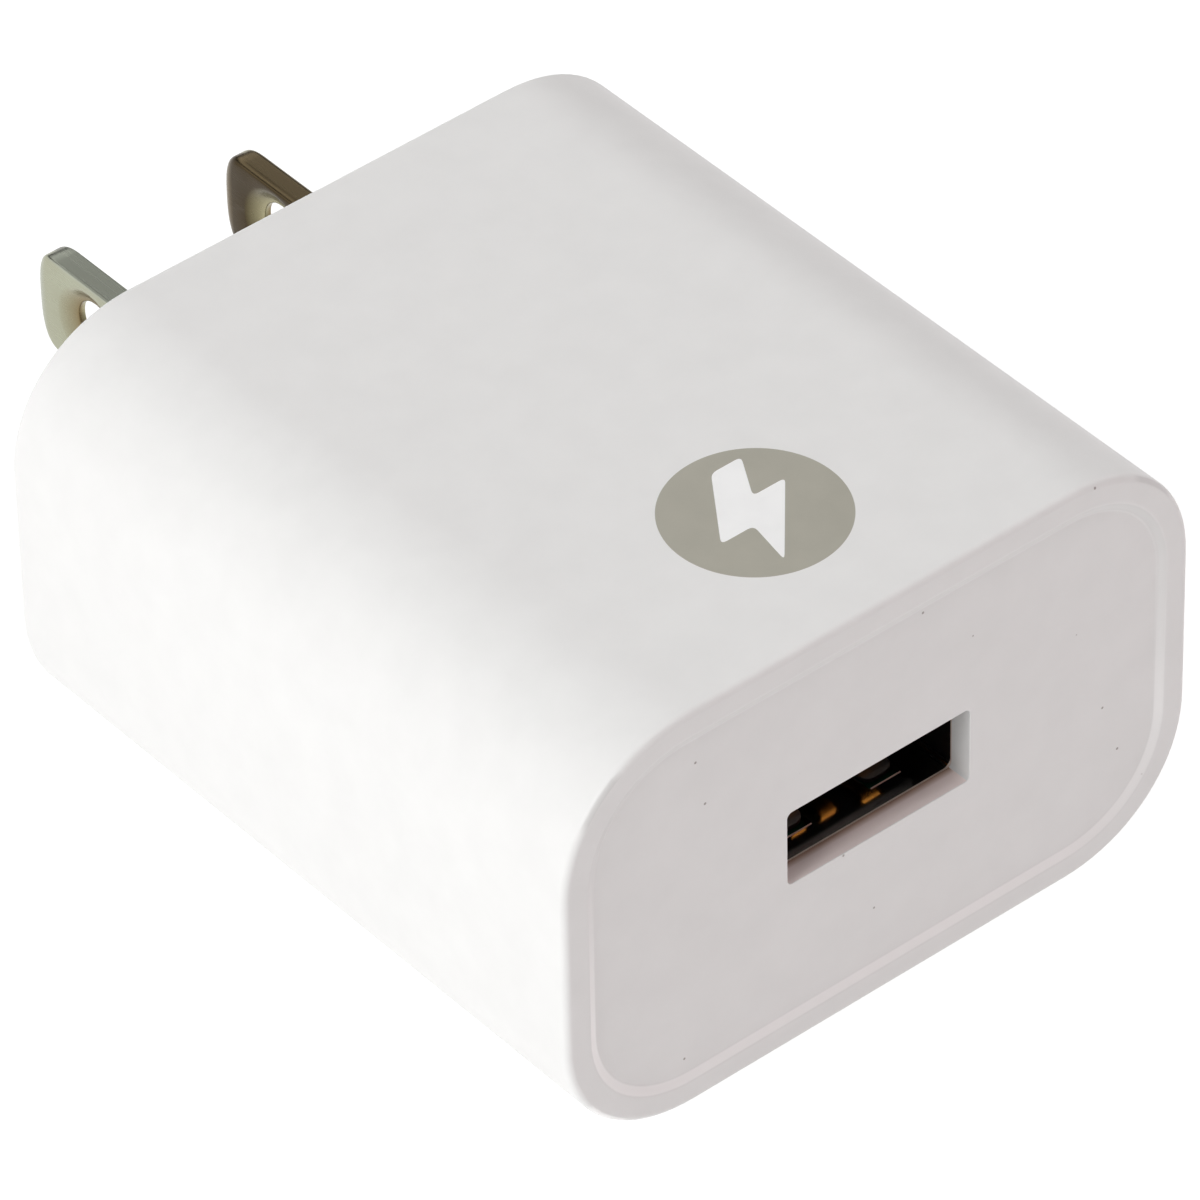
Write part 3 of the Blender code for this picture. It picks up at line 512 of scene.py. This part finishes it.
def make_port_shell():
    """The folded shell of the socket, with a window and a spring finger in each quarter."""
    front = SHELL_FRONT - SHELL_REACH
    half = SHEET / 2
    angles = [math.radians(angle) for angle in range(0, 181, 20)]
    rings = [socket_ring(front + half - half * math.sin(angle), half - half * math.cos(angle))
             for angle in angles]
    rings += [socket_ring(SHELL_HIGH.y, SHEET), socket_ring(SHELL_HIGH.y, 0.0)]
    shape = cut_away(loft("port_shell", rings, closed=True), make_windows())
    folded = len(shape.faces)
    for up, side in SHELL_QUARTERS:
        bridge(shape, finger_rings(up, side), False)
        bridge(shape, burr_rings(up, side), False)
    for number, face in enumerate(shape.faces):
        face.normal_update()
        middle = face.calc_center_median()
        if number >= folded:
            # The burrs get a painted highlight
            is_burr = middle.y < FINGER_TIP - WINDOW_LEAD
            face.material_index = LIT_EDGE_STEEL if is_burr else FINGER_STEEL
        # Painted highlight on the shell's front edge
        elif middle.y < front + half:
            face.material_index = LIT_EDGE_STEEL
        # Painted shade on the inner side walls
        elif abs(face.normal.x) > 0.9 and abs(middle.x) < SOCKET_HALF_WIDTH + half:
            face.material_index = SHADED_WALL_STEEL
    return add("port_shell", shape)


def make_contact(number):
    """A gold leaf with a rounded bump in front, flat along the tongue, then down its leg."""
    low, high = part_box(f"usb_contact_{number}")
    level = high.z - HALF_LEAF
    leg = high.y - HALF_LEAF
    path = [Vector((low.y + y * MM, level - drop * MM))
            for y, drop in eased_rows(CONTACT_PROFILE)]
    for rise, inward in quarter(5):
        path.append(Vector((leg - LEAF_BEND * inward, level - LEAF_BEND * rise)))
    path.append(Vector((leg, low.z)))
    middle = (low.x + high.x) / 2
    half_width = (high.x - low.x) / 2
    section = [(half_width - LEAF_CHAMFER, HALF_LEAF), (half_width, HALF_LEAF - LEAF_CHAMFER)]
    section += [(width, -height) for width, height in reversed(section)]
    section += [(-width, height) for width, height in reversed(section)]
    rings = []
    for index, here in enumerate(path):
        before = path[max(index - 1, 0)]
        after = path[min(index + 1, len(path) - 1)]
        along = (after - before).normalized()
        rings.append([(middle + width, here.x - along.y * height, here.y + along.x * height)
                      for width, height in section])
    return loft(f"contact_leaf_{number}", rings)


def bolt_outline():
    """A plain lightning bolt with eased corners, its lower point towards the front."""
    corners = [Vector(corner) * MM for corner in BOLT]
    steps = 4
    points = []
    for before, here, after in zip(corners[-1:] + corners, corners, corners[1:] + corners[:1]):
        start = here + (before - here).normalized() * BOLT_EASE
        end = here + (after - here).normalized() * BOLT_EASE
        for step in range(steps + 1):
            share = step / steps
            points.append(tuple(start.lerp(here, share).lerp(here.lerp(end, share), share)))
    return points


def make_print(name, outlines):
    """A film of ink on the top of the housing."""
    film = flat_piece(name, outlines, 0.0, INK, 0.0)
    top = HALF_HEIGHT - DRAFT * (MARK_Y - FRONT) / (REAR - FRONT)
    lay_flat = Matrix.Rotation(math.radians(-90), 4, "X")
    film.data.transform(Matrix.Translation((MARK_X, MARK_Y, top + INK / 2)) @ lay_flat)
    return film


def make_mark():
    """The printed disc, open where the bolt is."""
    angles = [math.radians(angle) for angle in range(0, 360, 2)]
    disc = [(MARK_RADIUS * math.cos(angle), MARK_RADIUS * math.sin(angle)) for angle in angles]
    return make_print("printed_mark", [disc, bolt_outline()])


# Materials

WHITE = (0.80, 0.795, 0.785)
SPECK = (0.36, 0.33, 0.31)
SPECK_SPACING = 2.2 * MM
SPECK_RADII = (0.028, 0.045)  # as shares of the spacing
SPECK_DEPTHS = (FRONT + 0.6 * MM, FRONT + 0.8 * MM)  # where the specks end
# Painted highlight along the step to the panel, and painted shade along its top
STEP_HIGHLIGHT = (0.97, 0.96, 0.95)
STEP_SHADE = (0.70, 0.695, 0.685)
# Painted pink light on the port's floor, and painted shade at its inner end next to the metal
LEDGE_PINK_LIGHT = (0.98, 0.82, 0.79)
LEDGE_SHADE = (0.38, 0.20, 0.11)
# Plating, worn plating and a painted ring around the hole, on the blades' faces
# Outer faces; the ring around the hole is painted shade
OUTER_PLATING = ((0.41, 0.425, 0.315), (0.36, 0.345, 0.25), (0.24, 0.185, 0.095))
# Faces between the blades: painted shade, with a painted highlight ring around the hole
INNER_SHADED_PLATING = ((0.054, 0.036, 0.014), (0.043, 0.028, 0.010), (0.36, 0.33, 0.20))
# Painted light on the long edges and the tip: a greyer reflection on the left blade, a highlight
# on the right one
LEFT_EDGE_REFLECTION = (0.41, 0.43, 0.36)
RIGHT_EDGE_HIGHLIGHT = (0.20, 0.152, 0.085)
# From where to where the painted edge light grows, across a blade and along it
EDGE_FADE = (BLADE_HIGH.z - 0.28 * MM, BLADE_HIGH.z - 0.04 * MM)
TIP_FADE = (BLADE_HIGH.y - 0.9 * MM, BLADE_HIGH.y - 0.2 * MM)


def new_material(name, colour, roughness, metallic=0.0):
    """A material and its shader."""
    material = bpy.data.materials.new(name)
    material.use_nodes = True
    shader = material.node_tree.nodes["Principled BSDF"]
    shader.inputs["Base Color"].default_value = (*colour, 1.0)
    shader.inputs["Roughness"].default_value = roughness
    shader.inputs["Metallic"].default_value = metallic
    return material, shader


def node(tree, kind, **values):
    made = tree.nodes.new(kind)
    for name, value in values.items():
        setattr(made, name, value)
    return made


def link(tree, output, target):
    tree.links.new(output, target)


def noise(tree, size, detail=3.0, stretch=(1.0, 1.0, 1.0)):
    """Noise whose features are about the given size, in millimetres, longer where stretched."""
    coordinates = node(tree, "ShaderNodeTexCoord")
    mapping = node(tree, "ShaderNodeMapping")
    link(tree, coordinates.outputs["Object"], mapping.inputs["Vector"])
    mapping.inputs["Scale"].default_value = [1 / (MM * size * part) for part in stretch]
    texture = node(tree, "ShaderNodeTexNoise")
    link(tree, mapping.outputs["Vector"], texture.inputs["Vector"])
    texture.inputs["Scale"].default_value = 1.0
    texture.inputs["Detail"].default_value = detail
    return texture.outputs["Fac"]


def spread(tree, value, low, high, from_low=0.3, from_high=0.7):
    """The value, stretched from one range to another and kept inside it."""
    ranged = node(tree, "ShaderNodeMapRange")
    link(tree, value, ranged.inputs["Value"])
    ranged.inputs["From Min"].default_value = from_low
    ranged.inputs["From Max"].default_value = from_high
    ranged.inputs["To Min"].default_value = low
    ranged.inputs["To Max"].default_value = high
    return ranged.outputs["Result"]


def blend_colour(tree, factor, low, high):
    """A colour between two, which are colours or sockets that carry one."""
    mix = node(tree, "ShaderNodeMix", data_type="RGBA")
    link(tree, factor, mix.inputs[0])
    for socket, colour in ((mix.inputs[6], low), (mix.inputs[7], high)):
        if isinstance(colour, bpy.types.NodeSocket):
            link(tree, colour, socket)
        else:
            socket.default_value = (*colour, 1.0)
    return mix.outputs[2]


def bump(tree, shader, height, distance, strength=1.0):
    """Relief of the given depth in millimetres."""
    made = node(tree, "ShaderNodeBump")
    link(tree, height, made.inputs["Height"])
    made.inputs["Distance"].default_value = distance * MM
    made.inputs["Strength"].default_value = strength
    link(tree, made.outputs["Normal"], shader.inputs["Normal"])


def shade(colour, share):
    """The colour, lighter or darker by a factor."""
    return tuple(min(part * share, 1.0) for part in colour)


def surface(name, colour, roughness, metallic=0.0, grain=0.3, height=0.004, contrast=0.08,
            stretch=(1.0, 1.0, 1.0)):
    """The common finish: uneven colour and gloss, and a fine grain in the surface."""
    material, shader = new_material(name, colour, roughness, metallic)
    tree = material.node_tree
    patches = noise(tree, 12 * grain, 4.0, stretch)
    factor = spread(tree, patches, 0.0, 1.0)
    colours = blend_colour(tree, factor, shade(colour, 1 - contrast), shade(colour, 1 + contrast))
    link(tree, colours, shader.inputs["Base Color"])
    gloss = spread(tree, noise(tree, 5 * grain, 3.0, stretch), roughness * 0.85, roughness * 1.15)
    link(tree, gloss, shader.inputs["Roughness"])
    bump(tree, shader, noise(tree, grain, 3.0, stretch), height)
    return material


def front_specks(tree, coordinates):
    """1 at rare small specks on the front of the housing, 0 elsewhere."""
    cells = node(tree, "ShaderNodeTexVoronoi")
    cells.inputs["Scale"].default_value = 1 / SPECK_SPACING
    link(tree, coordinates.outputs["Object"], cells.inputs["Vector"])
    near = spread(tree, cells.outputs["Distance"], 1.0, 0.0, *SPECK_RADII)
    parts = node(tree, "ShaderNodeSeparateXYZ")
    link(tree, coordinates.outputs["Object"], parts.inputs["Vector"])
    in_front = spread(tree, parts.outputs["Y"], 1.0, 0.0, *SPECK_DEPTHS)
    specks = node(tree, "ShaderNodeMath", operation="MULTIPLY")
    link(tree, near, specks.inputs[0])
    link(tree, in_front, specks.inputs[1])
    return specks.outputs["Value"]


def paint_step_light(tree, base):
    """A painted highlight along the step to the panel, and painted shade where its attribute is
    below 0.
    """
    step = node(tree, "ShaderNodeAttribute", attribute_name="step")
    base = blend_colour(tree, step.outputs["Fac"], base, STEP_HIGHLIGHT)
    # Painted shade along the top of the step
    darker = spread(tree, step.outputs["Fac"], 1.0, 0.0, -1.0, 0.0)
    return blend_colour(tree, darker, base, STEP_SHADE)


def paint_ledge_light(tree, base):
    """Painted pink light on the port's floor, and painted brown shade at its inner end."""
    ledge = node(tree, "ShaderNodeAttribute", attribute_name="ledge")
    base = blend_colour(tree, ledge.outputs["Fac"], base, LEDGE_PINK_LIGHT)
    # Painted shade at the inner end of the port's floor
    inner_shade = spread(tree, ledge.outputs["Fac"], 0.0, 0.95, 0.9, 1.0)
    return blend_colour(tree, inner_shade, base, LEDGE_SHADE)


def moulded_white(name):
    """White moulded plastic: fine even texture, faint mottling, rare dark specks in front, and
    painted light and shade on the step and the port's floor.
    """
    material, shader = new_material(name, WHITE, 0.42)
    tree = material.node_tree
    mottle = spread(tree, noise(tree, 2.5, 4.0), 0.0, 1.0)
    base = blend_colour(tree, mottle, shade(WHITE, 0.985), shade(WHITE, 1.015))
    coordinates = node(tree, "ShaderNodeTexCoord")
    base = blend_colour(tree, front_specks(tree, coordinates), base, SPECK)
    base = paint_ledge_light(tree, paint_step_light(tree, base))
    link(tree, base, shader.inputs["Base Color"])
    gloss = spread(tree, noise(tree, 0.6, 3.0), 0.44, 0.52)
    link(tree, gloss, shader.inputs["Roughness"])
    bump(tree, shader, noise(tree, 0.13, 2.0), 0.006, 0.6)
    return material


def near_hole(tree, inner, outer):
    """1 at the blade's hole, falling to 0 between two distances from its axis, in metres."""
    coordinates = node(tree, "ShaderNodeTexCoord")
    flatten = node(tree, "ShaderNodeVectorMath", operation="MULTIPLY")
    link(tree, coordinates.outputs["Object"], flatten.inputs[0])
    flatten.inputs[1].default_value = (0.0, 1.0, 1.0)
    away = node(tree, "ShaderNodeVectorMath", operation="DISTANCE")
    link(tree, flatten.outputs["Vector"], away.inputs[0])
    away.inputs[1].default_value = (0.0, HOLE_Y, 0.0)
    return spread(tree, away.outputs["Value"], 1.0, 0.0, inner, outer)


def near_edge(tree, parts):
    """1 along the blade's long edges and its tip, falling to 0 on its faces."""
    across = node(tree, "ShaderNodeMath", operation="ABSOLUTE")
    link(tree, parts.outputs["Z"], across.inputs[0])
    long_edge = spread(tree, across.outputs["Value"], 0.0, 1.0, *EDGE_FADE)
    tip = spread(tree, parts.outputs["Y"], 0.0, 1.0, *TIP_FADE)
    either = node(tree, "ShaderNodeMath", operation="MAXIMUM")
    link(tree, long_edge, either.inputs[0])
    link(tree, tip, either.inputs[1])
    return either.outputs["Value"]


def plated_blade(name, side, edge):
    """Plated brass: fine lines and worn patches, with painted shade between the blades, a painted
    ring around the hole and painted light on the edges.
    """
    material, shader = new_material(name, OUTER_PLATING[0], 0.3, 1.0)
    tree = material.node_tree
    coordinates = node(tree, "ShaderNodeTexCoord")
    parts = node(tree, "ShaderNodeSeparateXYZ")
    link(tree, coordinates.outputs["Object"], parts.inputs["Vector"])
    patches = spread(tree, noise(tree, 3.0, 4.0), 0.0, 0.7)
    lines = noise(tree, 0.12, 3.0, (1.0, 40.0, 1.0))
    scratches = spread(tree, lines, 0.0, 0.12)
    # Painted ring around the hole: a highlight on the inner faces, shade on the outer ones
    painted_hole_ring = near_hole(tree, HOLE_RADIUS, DISH_RADIUS)
    faces = []
    for plating, worn, ring in (INNER_SHADED_PLATING, OUTER_PLATING):
        base = blend_colour(tree, patches, plating, worn)
        base = blend_colour(tree, scratches, base, worn)
        faces.append(blend_colour(tree, painted_hole_ring, base, ring))
    # Painted shade on the faces between the blades
    middle = blade_middle(side)
    soft = side * 0.1 * MM
    outward = spread(tree, parts.outputs["X"], 0.0, 1.0, middle - soft, middle + soft)
    base = blend_colour(tree, outward, faces[0], faces[1])
    # Painted light along the long edges and the tip
    base = blend_colour(tree, near_edge(tree, parts), base, edge)
    link(tree, base, shader.inputs["Base Color"])
    link(tree, spread(tree, lines, 0.25, 0.33), shader.inputs["Roughness"])
    bump(tree, shader, lines, 0.001, 0.4)
    return material


# The record's slots, for the CAD nodes that stay and the pieces that stand for the others
FINISHES = {
    "spring_brass": dict(colour=(0.80, 0.62, 0.36), roughness=0.3, metallic=1.0, grain=0.2,
                         height=0.003, stretch=(1.0, 1.0, 12.0)),
    "plated_steel": dict(colour=(0.62, 0.60, 0.56), roughness=0.09, metallic=1.0, grain=0.15,
                         height=0.0008, stretch=(1.0, 20.0, 1.0)),
    "gold_plate": dict(colour=(1.0, 0.41, 0.08), roughness=0.24, metallic=1.0, grain=0.1,
                       height=0.001),
    "black_plastic": dict(colour=(0.012, 0.012, 0.013), roughness=0.4, grain=0.15, contrast=0.2),
    "board_laminate": dict(colour=(0.012, 0.09, 0.045), roughness=0.35, grain=0.4, contrast=0.15),
    "resistor_enamel": dict(colour=(0.10, 0.30, 0.22), roughness=0.35, grain=0.5, height=0.02),
    "chip_resin": dict(colour=(0.03, 0.03, 0.032), roughness=0.55, grain=0.12, contrast=0.2),
    "input_sleeve": dict(colour=(0.05, 0.05, 0.06), roughness=0.25, grain=0.6, contrast=0.1),
    "output_sleeve": dict(colour=(0.02, 0.10, 0.08), roughness=0.25, grain=0.6, contrast=0.1),
    "ferrite": dict(colour=(0.06, 0.06, 0.065), roughness=0.6, grain=0.1, height=0.01,
                    contrast=0.25),
    "copper_wire": dict(colour=(0.72, 0.33, 0.18), roughness=0.3, metallic=1.0, grain=0.12,
                        height=0.02, stretch=(30.0, 1.0, 30.0)),
    "yellow_tape": dict(colour=(0.80, 0.62, 0.08), roughness=0.3, grain=0.5, contrast=0.06),
    "blue_ceramic": dict(colour=(0.05, 0.20, 0.50), roughness=0.3, grain=0.5, height=0.02),
    "chip_ceramic": dict(colour=(0.04, 0.04, 0.05), roughness=0.4, grain=0.15, contrast=0.2),
    "tan_ceramic": dict(colour=(0.45, 0.33, 0.22), roughness=0.45, grain=0.12, contrast=0.1),
    "clear_film": dict(colour=(0.75, 0.72, 0.60), roughness=0.25, grain=0.8, contrast=0.05),
}
# The shell's other steels, in the order of their numbers
SHELL_STEELS = {
    "finger_steel": dict(colour=(0.18, 0.165, 0.155), roughness=0.45, metallic=1.0, grain=0.15,
                         height=0.001),
    # Painted shade on the socket's side walls
    "shaded_wall_steel": dict(colour=(0.05, 0.045, 0.043), roughness=0.45, metallic=1.0, grain=0.15,
                       height=0.001),
    # Painted highlight on the shell's front edge and on the burrs
    "lit_edge_steel": dict(colour=(0.8, 0.66, 0.58), roughness=0.5, metallic=0.5, grain=0.15,
                      height=0.001),
}
INKS = {
    "mark_ink": dict(colour=(0.41, 0.395, 0.335), roughness=0.4, grain=0.15, height=0.003,
                     contrast=0.03),
    "bolt_ink": dict(colour=(0.93, 0.93, 0.925), roughness=0.4, grain=0.15, height=0.003,
                     contrast=0.02),
}


def dress(piece, material, slot, *nodes):
    """Give a new piece its material, hang it under the root and hide the CAD nodes that it stands
    for; the slot argument is not used.
    """
    piece.data.materials.append(material)
    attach(piece, ROOT)
    if nodes:
        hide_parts(*nodes)


def dress_cad_nodes(replaced):
    """A procedural finish for each CAD node that stays, by its slot in the record."""
    made = {slot: surface(slot, **values) for slot, values in FINISHES.items()}
    for part in frame["record"]["subparts"]:
        name = part["node"]
        if name in replaced:
            continue
        item = frame["nodes"][name]
        item.data.materials.clear()
        item.data.materials.append(made[part["material_slot"]])
    return made


# Studio

def make_floor():
    """A large plain floor under the charger that comes out white."""
    shape = bmesh.new()
    level = cad_bounds[0][2]
    corners = [shape.verts.new((x * FLOOR_HALF, y * FLOOR_HALF, level))
               for x, y in ((-1, -1), (1, -1), (1, 1), (-1, 1))]
    shape.faces.new(corners)
    floor = add("studio_floor", shape)
    material, shader = new_material("pale_floor", (0.25, 0.25, 0.25), 0.9)
    shader.inputs["Emission Color"].default_value = (1.0, 1.0, 1.0, 1.0)
    shader.inputs["Emission Strength"].default_value = FLOOR_GLOW
    shader.inputs["Specular IOR Level"].default_value = 0.0
    floor.data.materials.append(material)


def make_world():
    """A dark studio, white below and just above the horizon so that the floor runs on."""
    world = bpy.data.worlds.new("studio")
    world.use_nodes = True
    tree = world.node_tree
    background = tree.nodes["Background"]
    coordinates = node(tree, "ShaderNodeTexCoord")
    parts = node(tree, "ShaderNodeSeparateXYZ")
    link(tree, coordinates.outputs["Generated"], parts.inputs["Vector"])
    ramp = node(tree, "ShaderNodeValToRGB")
    link(tree, parts.outputs["Z"], ramp.inputs["Fac"])
    for stop, height, level in zip(ramp.color_ramp.elements, HORIZON, (1.0, 0.03)):
        stop.position = height
        stop.color = (level, level, level, 1.0)
    link(tree, ramp.outputs["Color"], background.inputs["Color"])
    background.inputs["Strength"].default_value = 1.0
    bpy.context.scene.world = world


def add_softbox(name, azimuth, elevation, size, power, colour):
    """An area light that faces the charger, from a direction given in degrees."""
    data = bpy.data.lights.new(name, "AREA")
    data.shape = "RECTANGLE"
    data.size, data.size_y = size
    data.energy = power
    data.color = colour
    light = bpy.data.objects.new(name, data)
    bpy.context.scene.collection.objects.link(light)
    turn = math.radians(azimuth)
    rise = math.radians(elevation)
    away = Vector((math.sin(turn) * math.cos(rise), math.cos(turn) * math.cos(rise),
                   math.sin(rise)))
    light.location = AIM + away * SOFTBOX_DISTANCE
    light.rotation_euler = away.to_track_quat("Z", "Y").to_euler()


def make_camera():
    """The photo's viewpoint: a long lens, high at the charger's front left."""
    forward = Vector((math.sin(AZIMUTH) * math.cos(ELEVATION),
                      math.cos(AZIMUTH) * math.cos(ELEVATION), -math.sin(ELEVATION)))
    level = Vector((math.cos(AZIMUTH), -math.sin(AZIMUTH), 0.0))
    above = level.cross(forward)
    right = level * math.cos(ROLL) + above * math.sin(ROLL)
    up = right.cross(forward)
    place = AIM - forward * DISTANCE
    data = bpy.data.cameras.new("camera")
    data.lens = LENS
    data.sensor_width = SENSOR
    data.clip_start = 0.01
    data.clip_end = 20.0
    camera = bpy.data.objects.new("camera", data)
    bpy.context.scene.collection.objects.link(camera)
    camera.matrix_world = Matrix((
        (right.x, up.x, -forward.x, place.x),
        (right.y, up.y, -forward.y, place.y),
        (right.z, up.z, -forward.z, place.z),
        (0.0, 0.0, 0.0, 1.0)))
    bpy.context.scene.camera = camera


def make_pieces():
    """The finer pieces that stand for CAD nodes, the print on the top, and every material."""
    contacts = {number: f"usb_contact_{number}" for number in (1, 2, 3, 4)}
    finishes = dress_cad_nodes(("housing", "rear_cover", "prong_left", "prong_right",
                                "usb_shell", *contacts.values()))
    white = moulded_white("moulded_white")
    dress(make_housing(), white, "white_plastic", "housing")
    dress(make_rear_panel(), white, "white_plastic", "rear_cover")
    dress(make_blade("blade_left", -1, LEFT_EDGE),
          plated_blade("left_plating", -1, LEFT_EDGE_REFLECTION), "plated_brass", "prong_left")
    dress(make_blade("blade_right", 1, RIGHT_EDGE),
          plated_blade("right_plating", 1, RIGHT_EDGE_HIGHLIGHT), "plated_brass", "prong_right")
    shell = make_port_shell()
    dress(shell, finishes["plated_steel"], "plated_steel", "usb_shell")
    for name, values in SHELL_STEELS.items():
        shell.data.materials.append(surface(name, **values))
    for number, node_name in contacts.items():
        dress(make_contact(number), finishes["gold_plate"], "gold_plate", node_name)
    dress(make_mark(), surface("mark_ink", **INKS["mark_ink"]), "white_plastic")
    dress(make_print("printed_bolt", [bolt_outline()]),
          surface("bolt_ink", **INKS["bolt_ink"]), "white_plastic")


def main():
    make_camera()
    make_pieces()
    make_floor()
    make_world()
    for name, settings in SOFTBOXES.items():
        add_softbox(name, *settings)
    bpy.context.scene.view_settings.view_transform = "Standard"


main()
